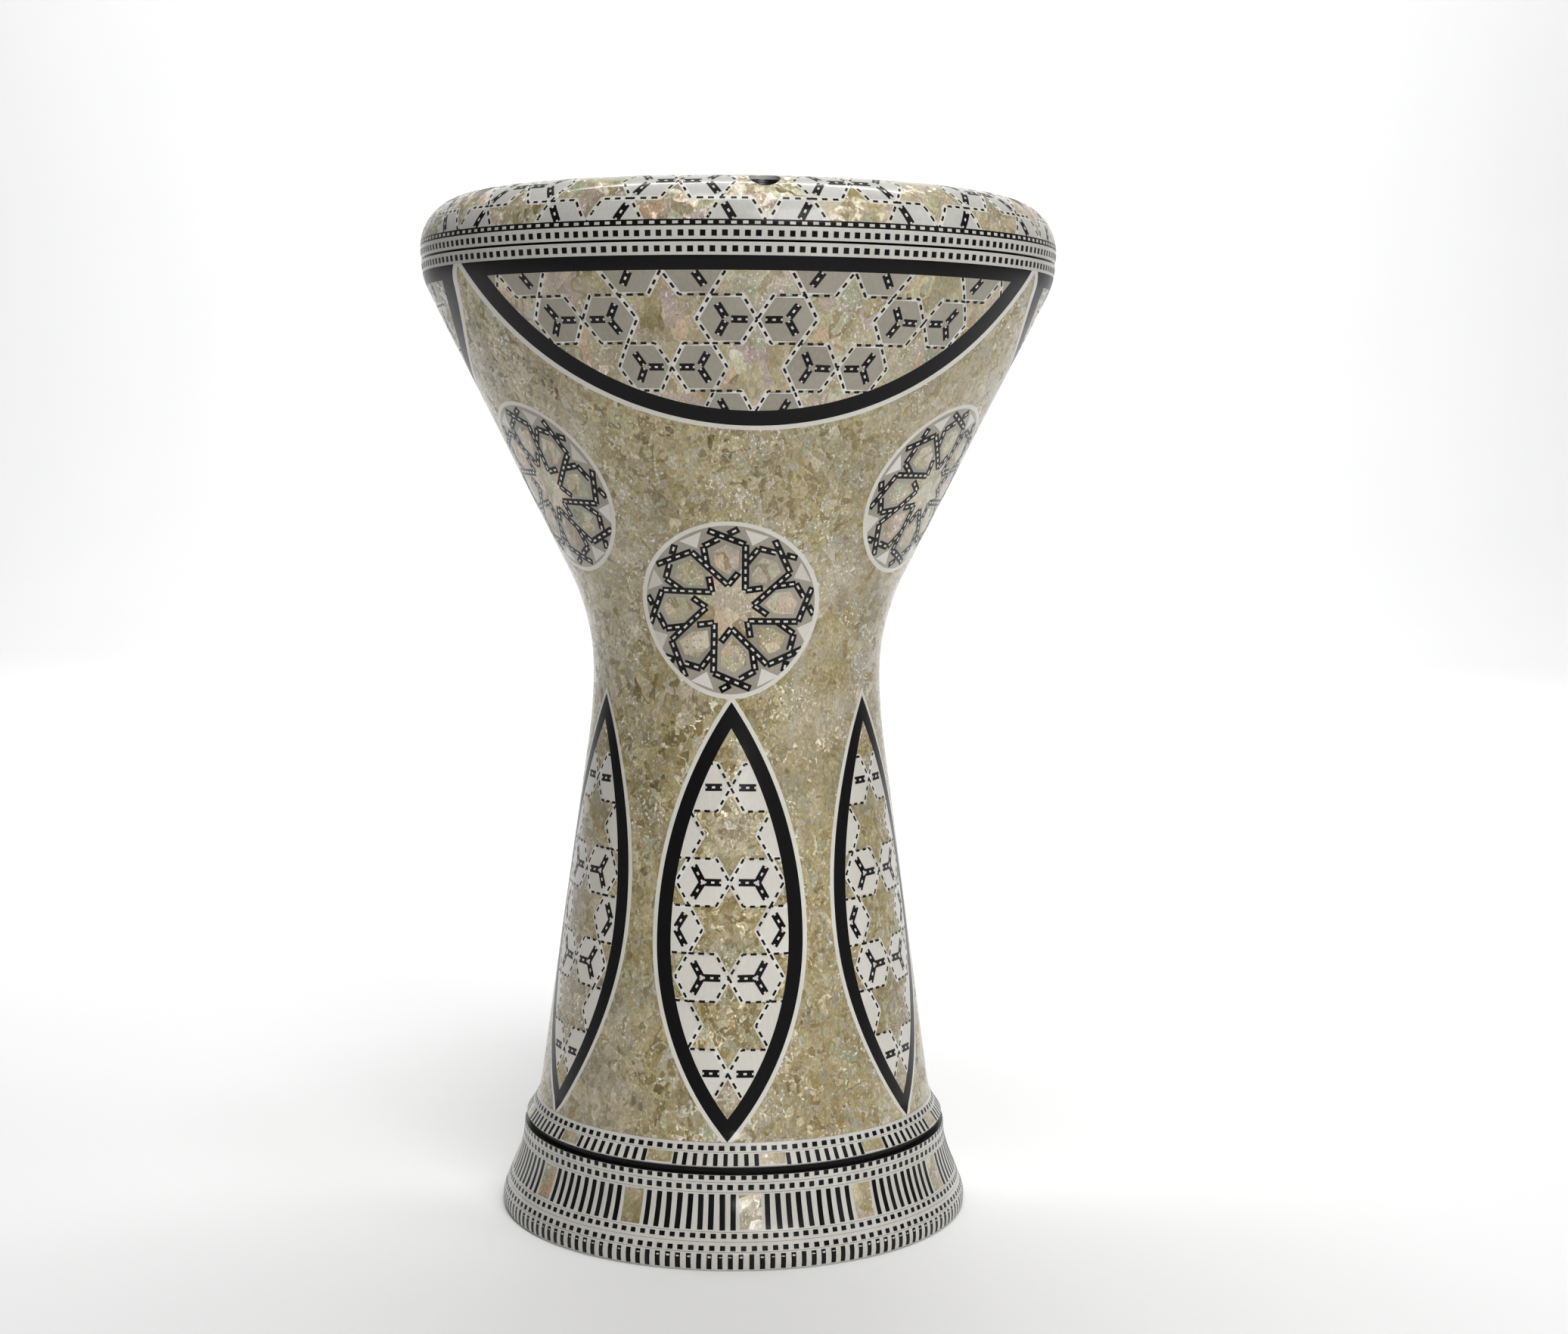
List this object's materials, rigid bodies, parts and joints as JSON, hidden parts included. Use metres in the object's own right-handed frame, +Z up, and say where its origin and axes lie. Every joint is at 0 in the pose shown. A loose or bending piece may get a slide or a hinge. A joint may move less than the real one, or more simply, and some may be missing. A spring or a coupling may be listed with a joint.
{
  "type": "goblet drum",
  "caption": "Goblet drum (darbuka) with a cast shell, a bolted tension ring over a film head and a mother-of-pearl inlay skin.",
  "frame": {"origin": "centre of the foot, on the surface the drum stands on", "axes": "+Z up along the drum's axis, head on top; -Y is the front, +X to the front's right"},
  "size_m": [0.28, 0.28, 0.45],
  "materials": {
    "cast_metal": "sand-cast, satin, bare inside the bowl and tail",
    "ring_metal": "cast and turned, dark satin finish, taken from the dark counterbores",
    "hoop_metal": "extruded, satin",
    "insert_metal": "machined",
    "bolt_steel": "black-oxide machine steel",
    "film": "frosted polyester film",
    "ivory_strip": "ivory resin strip under clear lacquer",
    "ivory_piping": "ivory resin piping under clear lacquer",
    "grey_ivory": "grey-ivory mosaic tiles under clear lacquer",
    "ring_ivory": "light grey-ivory mosaic tiles under clear lacquer",
    "black_resin": "black resin strip under clear lacquer",
    "crushed_pearl": "crushed mother-of-pearl in resin under clear lacquer",
    "pearl_tile": "mother-of-pearl tile under clear lacquer"
  },
  "bodies": {
    "shell": {"shell": "cast_metal", "thread_inserts": "insert_metal", "foot_edge_band": "ivory_strip", "foot_lower_check_band": "ivory_strip", "foot_bar_band": "ivory_strip", "foot_pearl_tiles": "pearl_tile", "foot_upper_check_band": "ivory_strip", "groove_band": "black_resin", "bead_bar_band": "ivory_strip", "bead_pearl_tiles": "pearl_tile", "bead_check_band": "ivory_strip", "lower_medallions": "grey_ivory", "lower_medallion_borders": "ivory_piping", "upper_medallions": "grey_ivory", "upper_medallion_borders": "ivory_piping", "lens_mosaics": "grey_ivory", "lens_frames": "black_resin", "lens_piping": "ivory_piping", "half_moon_mosaics": "grey_ivory", "half_moon_frames": "black_resin", "half_moon_piping": "ivory_piping", "pearl_field": "crushed_pearl", "shell_check_band": "ivory_strip", "drum_head": "film", "flesh_hoop": "hoop_metal"},
    "ring": {"tension_ring": "ring_metal", "ring_mosaic": "ring_ivory", "ring_check_band": "ivory_strip", "ring_dotted_band": "black_resin", "bolt_washers": "bolt_steel"},
    "bolt_1": {"tension_bolt_1": "bolt_steel"},
    "bolt_2": {"tension_bolt_2": "bolt_steel"},
    "bolt_3": {"tension_bolt_3": "bolt_steel"},
    "bolt_4": {"tension_bolt_4": "bolt_steel"},
    "bolt_5": {"tension_bolt_5": "bolt_steel"},
    "bolt_6": {"tension_bolt_6": "bolt_steel"}
  },
  "joints": [
    {"name": "ring_lift", "type": "slide", "parent": "shell", "child": "ring", "axis": [0, 0, 1], "range_m": [0, 0.014]},
    {"name": "bolt_1_turn", "type": "hinge", "parent": "ring", "child": "bolt_1", "pos_m": [0.0123, -0.1254, 0.4366], "axis": [0, 0, 1], "range_deg": [0, 5045]},
    {"name": "bolt_2_turn", "type": "hinge", "parent": "ring", "child": "bolt_2", "pos_m": [0.11475, -0.05205, 0.4366], "axis": [0, 0, 1], "range_deg": [0, 5045]},
    {"name": "bolt_3_turn", "type": "hinge", "parent": "ring", "child": "bolt_3", "pos_m": [0.10245, 0.07335, 0.4366], "axis": [0, 0, 1], "range_deg": [0, 5045]},
    {"name": "bolt_4_turn", "type": "hinge", "parent": "ring", "child": "bolt_4", "pos_m": [-0.0123, 0.1254, 0.4366], "axis": [0, 0, 1], "range_deg": [0, 5045]},
    {"name": "bolt_5_turn", "type": "hinge", "parent": "ring", "child": "bolt_5", "pos_m": [-0.11475, 0.05205, 0.4366], "axis": [0, 0, 1], "range_deg": [0, 5045]},
    {"name": "bolt_6_turn", "type": "hinge", "parent": "ring", "child": "bolt_6", "pos_m": [-0.10245, -0.07335, 0.4366], "axis": [0, 0, 1], "range_deg": [0, 5045]}
  ],
  "couplings": [
    {"joint": "bolt_1_turn", "follows": "ring_lift", "rad_per_m": 6283.2},
    {"joint": "bolt_2_turn", "follows": "ring_lift", "rad_per_m": 6283.2},
    {"joint": "bolt_3_turn", "follows": "ring_lift", "rad_per_m": 6283.2},
    {"joint": "bolt_4_turn", "follows": "ring_lift", "rad_per_m": 6283.2},
    {"joint": "bolt_5_turn", "follows": "ring_lift", "rad_per_m": 6283.2},
    {"joint": "bolt_6_turn", "follows": "ring_lift", "rad_per_m": 6283.2}
  ]
}
